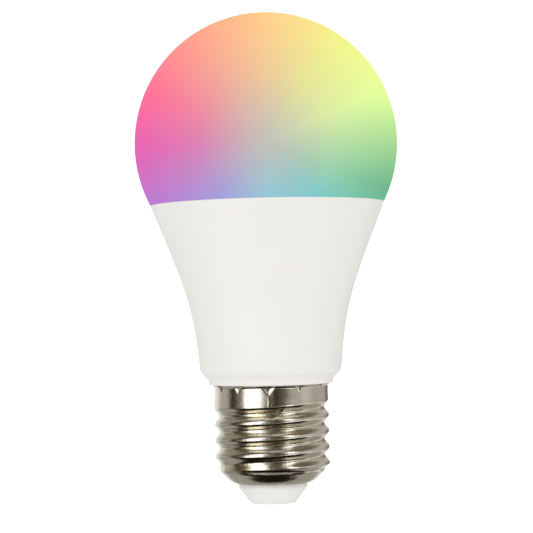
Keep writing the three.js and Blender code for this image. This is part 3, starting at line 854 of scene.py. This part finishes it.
def adhesive_look():
    look = moulded("silicone", (0.92, 0.92, 0.90), (0.86, 0.86, 0.83), (0.35, 0.6), 1.5, 0.05)
    return look.material


def cup_look():
    clean, worn = (0.80, 0.81, 0.83), (0.70, 0.71, 0.73)
    return metal("cup_aluminium", clean, worn, (0.25, 0.45), (1, 1, 0.06), 0.5, 0.01).material


def led_board_look():
    """White mask over ring tracks, on an aluminium core that shows at the edges and below."""
    look = moulded("led_board_mask", (0.93, 0.93, 0.91), (0.89, 0.89, 0.86))
    ring = look.radius()
    white_track = near(look, ring, WHITE_RING_RADIUS, 2.1)
    colour_track = near(look, ring, COLOUR_RING_RADIUS, 2.9)
    clear = look.span(look.noise(2.6, 1), 0.36, 0.38)
    tracks = look.times(look.calc("MAXIMUM", white_track, colour_track), clear)
    look.tone = look.mix(tracks, look.tone, (0.96, 0.96, 0.94))
    look.finish(Normal=look.bump(tracks, 0.05, look.grain))
    core = below(look, look.axis("Z"), CORE_TOP_Z, 0.02)
    return inlay(look, core, (0.78, 0.79, 0.8), 0.35)


def white_led_look():
    """A white package with yellow phosphor in its sunken window."""
    look = moulded("white_led", (0.93, 0.93, 0.91), (0.88, 0.88, 0.86), (0.3, 0.45), 0.2, 0.004)
    window = near(look, look.axis("Z"), WHITE_WINDOW_Z, 0.04)
    window = look.times(window, facing(look, "Z"))
    gel = look.mix(look.noise(0.25, 3), (0.93, 0.72, 0.14), (0.86, 0.62, 0.08))
    return inlay(look, window, gel, 0.2, 0.0)


# The chips in a colour LED, by their places across it, and each one's half width and half length.
DICE = ((-1.0, (0.55, 0.06, 0.04)), (0, (0.08, 0.42, 0.14)), (1.0, (0.05, 0.12, 0.55)))
DIE_HALF = (0.34, 0.3)


def colour_led_look(name, angle):
    """A white package with a round window over three chips, red, green and blue."""
    look = moulded(name, (0.92, 0.92, 0.90), (0.87, 0.87, 0.85), (0.3, 0.45), 0.25, 0.004)
    out = COLOUR_RING_RADIUS * MM
    centre = (out * math.cos(angle), out * math.sin(angle), 0.0)
    turn = {"Vector": look.place, "Center": centre, "Angle": -angle}
    level = look.add("VectorRotate", turn, rotation_type="Z_AXIS")
    across = look.calc("SUBTRACT", look.axis("Y", level), centre[1])
    along = look.calc("SUBTRACT", look.axis("X", level), centre[0])
    window = near(look, look.axis("Z"), COLOUR_WINDOW_Z, 0.04)
    window = look.times(window, facing(look, "Z"))
    floor = look.mix(look.noise(0.3, 3), (0.74, 0.73, 0.70), (0.66, 0.65, 0.62))
    for place, colour in DICE:
        wide, long = near(look, across, place, DIE_HALF[0]), near(look, along, 0, DIE_HALF[1])
        floor = look.mix(look.times(wide, long), floor, colour)
    return inlay(look, window, floor, 0.15, 0.0)


def screw_look():
    clean, worn = (0.66, 0.67, 0.69), (0.55, 0.53, 0.47)
    return metal("zinc_steel", clean, worn, (0.22, 0.42), (1, 1, 4), 0.3).material


def chip_look(node, legs=None):
    """Black moulding with a dimple in one corner. What reaches past the body along legs is tinned."""
    black, grey = (0.03, 0.03, 0.034), (0.045, 0.044, 0.045)
    look = moulded(node + "_look", black, grey, (0.5, 0.68), 0.12, 0.006, 1.5)
    low, high = (np.array(corner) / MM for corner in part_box(node))
    dimple = [low[0] + 0.9, (low[1] + high[1]) / 2, high[2] - (1.7 if legs == "Z" else 0.9)]
    if legs == "Y":
        dimple[1] = low[1] + 1.6
    aim = tuple(-v * MM for v in dimple)
    flat = look.add("VectorMath", {0: look.place, 1: aim}, operation="ADD")
    keep = (1, 1, 0) if legs == "Y" else (1, 0, 1)
    flat = look.add("VectorMath", {0: flat, 1: keep}, operation="MULTIPLY")
    off = look.add("VectorMath", {0: flat}, output="Value", operation="LENGTH")
    look.finish(Normal=look.bump(above(look, off, 0.3), 0.05, look.grain))
    if legs is None:
        return look.material
    axis = "XYZ".index(legs)
    reach = (high[axis] - low[axis]) / 2 - 0.8
    body = near(look, look.axis(legs), (high[axis] + low[axis]) / 2, reach + 0.03, 0.02)
    return inlay(look, look.calc("SUBTRACT", 1.0, body), TIN, 0.28)


def board_look(name, mask, copper, fibre, grid):
    """Solder mask over copper laid out on a grid, with bare fibre at the board's edges."""
    look = moulded(name, mask, tuple(0.85 * v for v in mask), (0.22, 0.4), 0.5, 0.006)
    steps = tuple([grid * MM] * 3)
    snapped = look.add("VectorMath", {0: look.place, 1: steps}, operation="SNAP")
    pours = look.span(look.noise(grid * 2.6, 1, 0.4, snapped), 0.5, 0.505)
    look.tone = look.mix(pours, look.tone, copper)
    weave = look.add("TexWave", {"Vector": look.place, "Scale": 380.0, "Distortion": 0.3}, 1)
    look.finish(Normal=look.bump(pours, 0.035, look.bump(weave, 0.004, look.grain)))
    edge = look.span(facing(look, "Y"), 0.45, 0.55, 1, 0)
    return inlay(look, edge, fibre, 0.75, 0.0)


def radio_board_look():
    mask, copper, fibre = (0.03, 0.11, 0.07), (0.036, 0.13, 0.084), (0.45, 0.42, 0.28)
    return board_look("radio_board_look", mask, copper, fibre, 0.6)


def driver_board_look():
    mask, copper, fibre = (0.04, 0.20, 0.11), (0.046, 0.228, 0.125), (0.52, 0.50, 0.33)
    return board_look("driver_board_look", mask, copper, fibre, 0.8)


def shield_look():
    """Tinplate with an embossed frame on its flat side."""
    clean, worn = (0.76, 0.77, 0.78), (0.66, 0.66, 0.65)
    look = metal("tinplate", clean, worn, (0.2, 0.36), (0.1, 1, 1), 0.4, 0.006)
    wide, high = near(look, look.axis("X"), 0, 4.1, 0.12), near(look, look.axis("Z"), SHIELD_Z, 3.35, 0.12)
    return look.finish(Normal=look.bump(look.calc("MINIMUM", wide, high), 0.12, look.grain))


def gold_look():
    clean, worn = (0.86, 0.67, 0.30), (0.76, 0.55, 0.22)
    return metal("gold_plate", clean, worn, (0.16, 0.3), (1, 1, 0.3), 0.2).material


def socket_look():
    return moulded("socket_plastic", (0.88, 0.86, 0.80), (0.83, 0.80, 0.73), (0.4, 0.55)).material


def header_look():
    dark, grey = (0.03, 0.03, 0.034), (0.045, 0.045, 0.048)
    return moulded("link_header_look", dark, grey, (0.42, 0.6)).material


def capacitor_look(node):
    """A dark sleeve with a pale stripe, a cross vent in its aluminium top, and tinned leads."""
    sleeve = (0.03, 0.036, 0.055), (0.02, 0.026, 0.045)
    look = moulded(node + "_look", *sleeve, (0.22, 0.36), 1.2, 0.012)
    low, high = (np.array(corner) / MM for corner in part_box(node))
    x, y = ((low + high) / 2)[:2]
    radius = (high[0] - low[0]) / 2
    east = look.calc("SUBTRACT", look.axis("X"), x * MM)
    north = look.calc("SUBTRACT", look.axis("Y"), y * MM)
    side = look.calc("ARCTAN2", north, east)
    stripe = look.span(look.calc("ABSOLUTE", look.calc("SUBTRACT", side, 0.6)), 0.3, 0.32, 1, 0)
    look.tone = look.mix(stripe, look.tone, (0.55, 0.57, 0.58))
    off = look.calc("SQRT", look.calc("ADD", look.calc("POWER", east, 2), look.calc("POWER", north, 2)))
    end = above(look, look.axis("Z"), high[2] - 0.03, 0.01)
    top = look.calc("SUBTRACT", end, look.times(end, above(look, off, radius - 0.9)))
    vent = look.calc("MAXIMUM", near(look, east, 0, 0.12), near(look, north, 0, 0.12))
    look.finish(Normal=look.bump(look.times(vent, top), -0.1, look.grain))
    leads = below(look, look.axis("Z"), low[2] + LEAD_LENGTH, 0.01)
    return inlay(look, look.calc("MAXIMUM", top, leads), (0.78, 0.78, 0.79), 0.3)


def wraps(look, scale, distortion, axis):
    """Turns of wire or tape, wound one beside another along an axis."""
    sockets = {"Vector": look.place, "Scale": scale, "Distortion": distortion}
    return look.add("TexWave", sockets, 1, bands_direction=axis)


def inductor_look():
    """A ferrite drum's ends, with a shrunk black sleeve between them over the winding."""
    dark, brown = (0.05, 0.042, 0.04), (0.07, 0.055, 0.05)
    look = moulded("wound_drum", brown, dark, (0.55, 0.75), 0.25, 0.015)
    sleeve = near(look, look.axis("Y"), DRUM_Y, 3.3)
    turns = look.times(wraps(look, 260.0, 0.5, "Y"), sleeve)
    look.finish(Normal=look.bump(turns, 0.05, look.grain))
    return inlay(look, sleeve, (0.025, 0.025, 0.027), 0.3, 0.0)


def ferrite_look():
    """Sintered ferrite with a glue line where its halves meet."""
    grey, dark = (0.055, 0.055, 0.06), (0.04, 0.04, 0.045)
    look = moulded("ferrite", grey, dark, (0.5, 0.72), 0.18, 0.02, 2.5)
    joint = near(look, look.axis("Z"), TRANSFORMER_Z, 0.06)
    look.finish(Normal=look.bump(joint, -0.05, look.grain))
    return inlay(look, joint, (0.3, 0.22, 0.08), 0.3, 0.0)


def coil_look():
    """Yellow tape over the winding, between the bobbin's dark flanges, with tinned pins below."""
    yellow, amber = (0.80, 0.60, 0.10), (0.70, 0.48, 0.06)
    look = moulded("winding_tape", yellow, amber, (0.18, 0.32), 2.5, 0.03)
    look.finish(Normal=look.bump(wraps(look, 110.0, 0.8, "Z"), 0.02, look.grain))
    flange = look.calc("SUBTRACT", 1.0, near(look, look.axis("Z"), TRANSFORMER_Z, 2.9))
    look.tone = look.mix(flange, look.tone, (0.05, 0.03, 0.022))
    return inlay(look, below(look, look.axis("Y"), COIL_BACK_Y, 0.02), TIN, 0.3)


BROWN_BAND = (0.25, 0.10, 0.03)
BLACK_BAND = (0.02, 0.02, 0.02)
GOLD_BAND = (0.55, 0.38, 0.10)
RESISTOR_BANDS = ((17.4, BROWN_BAND), (18.6, BLACK_BAND), (19.8, BLACK_BAND), (21.4, GOLD_BAND))


def resistor_look():
    """A green flameproof coat with colour bands, and tinned leads."""
    light, dark = (0.17, 0.29, 0.13), (0.13, 0.24, 0.10)
    look = moulded("resistor_coat", light, dark, (0.6, 0.8), 0.15, 0.02, 2.0)
    for z, colour in RESISTOR_BANDS:
        look.tone = look.mix(near(look, look.axis("Z"), z, 0.3), look.tone, colour)
    body = near(look, look.axis("Z"), RESISTOR_Z, 3.98, 0.01)
    return inlay(look, look.calc("SUBTRACT", 1.0, body), TIN, 0.3)


def varistor_look():
    """A blue epoxy coat that runs a little way down its tinned leads."""
    light, dark = (0.04, 0.14, 0.44), (0.03, 0.10, 0.34)
    look = moulded("varistor_coat", light, dark, (0.2, 0.34), 1.6, 0.05, 2.5)
    ragged = look.calc("MULTIPLY_ADD", look.noise(0.8, 2), 0.8 * MM, look.axis("Z"))
    return inlay(look, below(look, ragged, VARISTOR_BOTTOM_Z, 0.03), TIN, 0.3)


def live_look():
    light, dark = (0.42, 0.035, 0.025), (0.36, 0.03, 0.02)
    return moulded("lead_insulation", light, dark, (0.35, 0.5), 0.5, 0.01).material


def neutral_look():
    clean, worn = (0.80, 0.45, 0.28), (0.55, 0.27, 0.15)
    return metal("bare_copper", clean, worn, (0.2, 0.4), (1, 1, 0.2), 0.2).material


def add_inside():
    """Gives each piece inside its rounded edges and its look.

    The list holds each one's node, the width of its rounded edges, its material and its slot.
    """
    inside = [
        ("dome_adhesive", 0.3, adhesive_look(), "silicone"),
        ("heat_sink_cup", 0.15, cup_look(), "cup_aluminium"),
        ("led_board", 0, led_board_look(), "led_board_mask"),
        ("led_driver_chip", 0.06, chip_look("led_driver_chip", "Y"), "black_moulding"),
        ("radio_board", 0.04, radio_board_look(), "radio_board_mask"),
        ("radio_shield", 0.1, shield_look(), "tinplate"),
        ("radio_chip", 0.05, chip_look("radio_chip"), "black_moulding"),
        ("link_header", 0.12, header_look(), "black_moulding"),
        ("link_socket", 0.12, socket_look(), "socket_plastic"),
        ("driver_board", 0.05, driver_board_look(), "driver_board_mask"),
        ("filter_inductor", 0.12, inductor_look(), "wound_drum"),
        ("transformer_core", 0.2, ferrite_look(), "ferrite"),
        ("transformer_coil", 0.15, coil_look(), "winding_tape"),
        ("fusible_resistor", 0.1, resistor_look(), "resistor_coat"),
        ("varistor", 0.25, varistor_look(), "varistor_coat"),
        ("live_lead", 0.03, live_look(), "lead_insulation"),
        ("neutral_lead", 0.02, neutral_look(), "bare_copper"),
    ]
    for node in ("bridge_rectifier", "rectifier_diode", "power_switch_chip"):
        inside.append((node, 0.08, chip_look(node, "Z"), "black_moulding"))
    for node in ("input_capacitor", "output_capacitor"):
        inside.append((node, 0.12, capacitor_look(node), "capacitor_sleeve"))
    gold, steel, white = gold_look(), screw_look(), white_led_look()
    inside.append(("radio_aerial", 0.04, gold, "gold_plate"))
    inside += [(f"link_pin_{i}", 0.08, gold, "gold_plate") for i in (1, 2, 3)]
    inside += [(f"board_screw_{i}", 0.1, steel, "zinc_steel") for i in (1, 2)]
    inside += [(f"white_led_{i:02d}", 0.06, white, "white_led") for i in range(1, 13)]
    for i in range(1, 7):
        angle = math.radians((i - 0.5) * 60)
        look = colour_led_look(f"colour_led_{i}", angle)
        inside.append((f"colour_led_{i:02d}", 0.08, look, "colour_led"))
    for node, width, material, slot in inside:
        fit(rounded_copy(node, node + "_detail", width), node, material)


# ---- Stage ----

def card(name, corners, material):
    """A flat sheet through four corners, in metres."""
    mesh = bpy.data.meshes.new(name)
    mesh.from_pydata(corners, [], [(0, 1, 2, 3)])
    sheet = bpy.data.objects.new(name, mesh)
    bpy.context.scene.collection.objects.link(sheet)
    mesh.materials.append(material)
    return sheet


def white_look(name, strength, through_back=False):
    look = Look(name, Base_Color=(0.9, 0.9, 0.9), Roughness=0.9, Emission_Strength=strength)
    shade = look.mix(look.noise(400, 2), (1, 1, 1), (0.99, 0.99, 0.985))
    look.finish(Emission_Color=shade)
    if through_back:
        behind = look.tree.nodes.new("ShaderNodeNewGeometry").outputs["Backfacing"]
        clear = look.add("BsdfTransparent")
        both = look.add("MixShader", {0: behind, 1: look.shader.outputs[0], 2: clear})
        look.tree.links.new(both, look.tree.nodes["Material Output"].inputs["Surface"])
    return look.material


def only_for(sheet, *rays):
    """Only these kinds of ray see a stage piece."""
    for ray in ("camera", "diffuse", "glossy", "transmission", "shadow"):
        setattr(sheet, "visible_" + ray, ray in rays)
    return sheet


def globe(name, radius, material):
    """A sphere round the whole scene, facing inwards, its radius in metres."""
    heights = np.linspace(-math.pi / 2, math.pi / 2, 25)[1:-1]
    around = [(radius / MM * math.cos(a), radius / MM * math.sin(a), 0) for a in heights]
    points, normals = rounded([(0, -radius / MM, 0), *around, (0, radius / MM, 0)])
    sphere = turned(name, points, normals, 48)
    sphere.data.flip_normals()
    sphere.data.materials.append(material)
    return sphere


# In metres.
FLOOR_Z = -0.12
FLOOR_HALF = 3.0
BACKDROP_RADIUS = 4.0
TENT_RADIUS = 2.0


def add_backdrop():
    """A pale floor well below the bulb, and a white shell round everything as its backdrop."""
    half = FLOOR_HALF
    corners = [(-half, -half), (half, -half), (half, half), (-half, half)]
    floor_look = white_look("pale_floor", 0.95, through_back=True)
    floor = card("floor", [(x, y, FLOOR_Z) for x, y in corners], floor_look)
    only_for(floor, "camera")
    only_for(globe("backdrop", BACKDROP_RADIUS, white_look("backdrop", 1.0)), "camera")


# What the metal mirrors, set to put its streaks about where the photograph has them. At the bulb's
# own height, all round, stand these cards, each over those before it: (brightness, azimuths in
# degrees to the right of the camera, their softness).
LEVEL_BASE = 0.5
LEVEL_CARDS = (
    (1.0, (165, 230), 9),  # softbox behind
    (0.2, (140, 163), 5),  # black card behind it
    (0.7, (60, 84), 8),  # pale wall on the right
    (0.17, (17, 34), 5),  # grey card
    (0.03, (-2, 20), 7),  # black card in front
    (0.45, (-21, -9), 5),  # the softbox's dim edge
    (0.25, (-74, -59), 5),  # grey card
    (0.04, (-94, -73), 6),  # black card on the left
    (2.2, (-56, -21), 4),  # softbox on the left
)
LEVEL_REACH = 13  # degrees above and below level that these cards fill
# Above and below them: (brightness, azimuths, their softness, elevations, their softness), each over
# those before it.
TENT_BASE = 0.18
ALL_ROUND = (-180, 180)
TENT_PATCHES = (
    (0.4, ALL_ROUND, 1, (14, 40), 7),  # the upper part of the room
    (0.6, ALL_ROUND, 1, (75, 95), 8),  # ceiling
    (0.42, ALL_ROUND, 1, (-54, -14), 5),  # the table
    (0.1, ALL_ROUND, 1, (-75, -60), 3),  # its near edge, in shadow
    (0.33, (-150, -100), 10, (-60, 60), 8),  # the darker left of the room
    (0.13, (-13, 27), 8, (-43, 60), 6),  # the viewer's side
    (0.1, (-100, -66), 8, (-36, 50), 6),  # the dark side of the softbox
    (0.9, (150, 215), 12, (-50, 60), 12),  # softbox behind
    (2.25, (-54, -20), 7, (-36, 50), 4),  # softbox on the left
    (1.15, (50, 140), 12, (-34, -16), 4),  # lit edge of the table on the right
    (0.6, (50, 140), 12, (15, 34), 5),  # pale wall above it
    (2.1, (30, 51), 6, (15, 58), 7),  # window on the right
    (2.1, (30, 51), 6, (-36, -15), 4),  # its reflection in the table
    (0.4, (94, 266), 7, (-74, -25), 4),  # the table behind
)
# The black base below: an oval, by its middle and half sizes in the direction's own X and Y.
BASE_MIDDLE = -0.15
BASE_WIDE, BASE_DEEP = 0.84, 0.46
BASE_BRIGHTNESS = 0.012


def between(look, value, low, high, soft):
    """1 from low to high, and 0 further than soft from them."""
    rise = look.span(value, low - soft, low + soft)
    fall = look.span(value, high - soft, high + soft, 1, 0)
    return look.times(rise, fall)


def between_azimuths(look, azimuth, low, high, soft):
    """The same all round, where high may be past 180 degrees."""
    share = between(look, azimuth, low, high, soft)
    if high > 180:
        share = look.calc("MAXIMUM", share, between(look, azimuth, low - 360, high - 360, soft))
    return share


def lay_over(look, light, share, brightness):
    """Puts a share of another brightness over what is there."""
    rest = look.times(look.calc("SUBTRACT", 1.0, share), light)
    return look.calc("MULTIPLY_ADD", share, brightness, rest)


def base_share(look, way, elevation):
    """Where the black base below is seen."""
    across = look.calc("DIVIDE", look.axis("X", way), BASE_WIDE)
    deep = look.calc("DIVIDE", look.calc("SUBTRACT", look.axis("Y", way), BASE_MIDDLE), BASE_DEEP)
    out = look.calc("ADD", look.times(across, across), look.times(deep, deep))
    inside = look.span(out, 0.88, 1.12, 1, 0)
    return look.times(inside, look.span(elevation, -30, -20, 1, 0))


def tent_look():
    look = Look("tent", Base_Color=(0, 0, 0), Specular_IOR_Level=0.0, Roughness=1.0)
    way = look.add("VectorMath", {0: look.place}, operation="NORMALIZE")
    forward = look.times(look.axis("Y", way), -1.0)
    azimuth = look.calc("DEGREES", look.calc("ARCTAN2", look.axis("X", way), forward))
    elevation = look.calc("DEGREES", look.calc("ARCSINE", look.axis("Z", way)))

    light = TENT_BASE
    for brightness, azimuths, turn_soft, elevations, rise_soft in TENT_PATCHES:
        share = between(look, elevation, *elevations, rise_soft)
        if azimuths != ALL_ROUND:
            wide = between_azimuths(look, azimuth, *azimuths, turn_soft)
            share = look.times(share, wide)
        light = lay_over(look, light, share, brightness)
    light = lay_over(look, light, base_share(look, way, elevation), BASE_BRIGHTNESS)
    level = LEVEL_BASE
    for brightness, azimuths, soft in LEVEL_CARDS:
        share = between_azimuths(look, azimuth, *azimuths, soft)
        level = lay_over(look, level, share, brightness)
    at_level = between(look, elevation, -LEVEL_REACH, LEVEL_REACH, 8)
    light = lay_over(look, light, at_level, level)
    tint = look.mix(look.span(light, 0.02, 0.35), (1, 0.85, 0.55), (1, 0.99, 0.96))
    tint = look.mix(look.span(light, 0.5, 1.2), tint, (0.97, 0.985, 1))
    return look.finish(Emission_Color=tint, Emission_Strength=light)


def area_light(name, azimuth, elevation, distance, width, height, radiance):
    """A softbox facing the bulb, its azimuth in degrees right of the camera."""
    data = bpy.data.lights.new(name, "AREA")
    data.shape = "RECTANGLE"
    data.size, data.size_y = width, height
    data.energy = radiance * math.pi * width * height
    light = bpy.data.objects.new(name, data)
    bpy.context.scene.collection.objects.link(light)
    turn, rise = math.radians(azimuth), math.radians(elevation)
    flat = distance * math.cos(rise)
    way = (flat * math.sin(turn), -flat * math.cos(turn), distance * math.sin(rise))
    light.location = Vector((0, 0, 0.05)) + Vector(way)
    light.rotation_euler = Vector(way).to_track_quat("Z", "Y").to_euler()
    light.visible_camera = light.visible_glossy = False
    return light


WORLD_LIGHT = 0.82
FILL_LIGHT = 0.5
BOUNCE_LIGHT = 0.35


def add_lights():
    """Even light and two soft fills for the plastic, and a tent for the metal to mirror."""
    world = bpy.data.worlds.new("studio")
    world.use_nodes = True
    background = world.node_tree.nodes["Background"]
    background.inputs["Color"].default_value = (1, 0.995, 0.98, 1)
    background.inputs["Strength"].default_value = WORLD_LIGHT
    bpy.context.scene.world = world
    area_light("fill", -8, 4, 1.2, 0.9, 0.9, FILL_LIGHT)
    area_light("bounce", -5, -40, 0.6, 0.5, 0.5, BOUNCE_LIGHT)
    only_for(globe("tent", TENT_RADIUS, tent_look()), "glossy")


# ---- Put together ----

add_camera()
add_backdrop()
add_lights()
make_dome()
make_housing()
make_rails()
make_shell()
make_insulator()
make_contact()
add_inside()
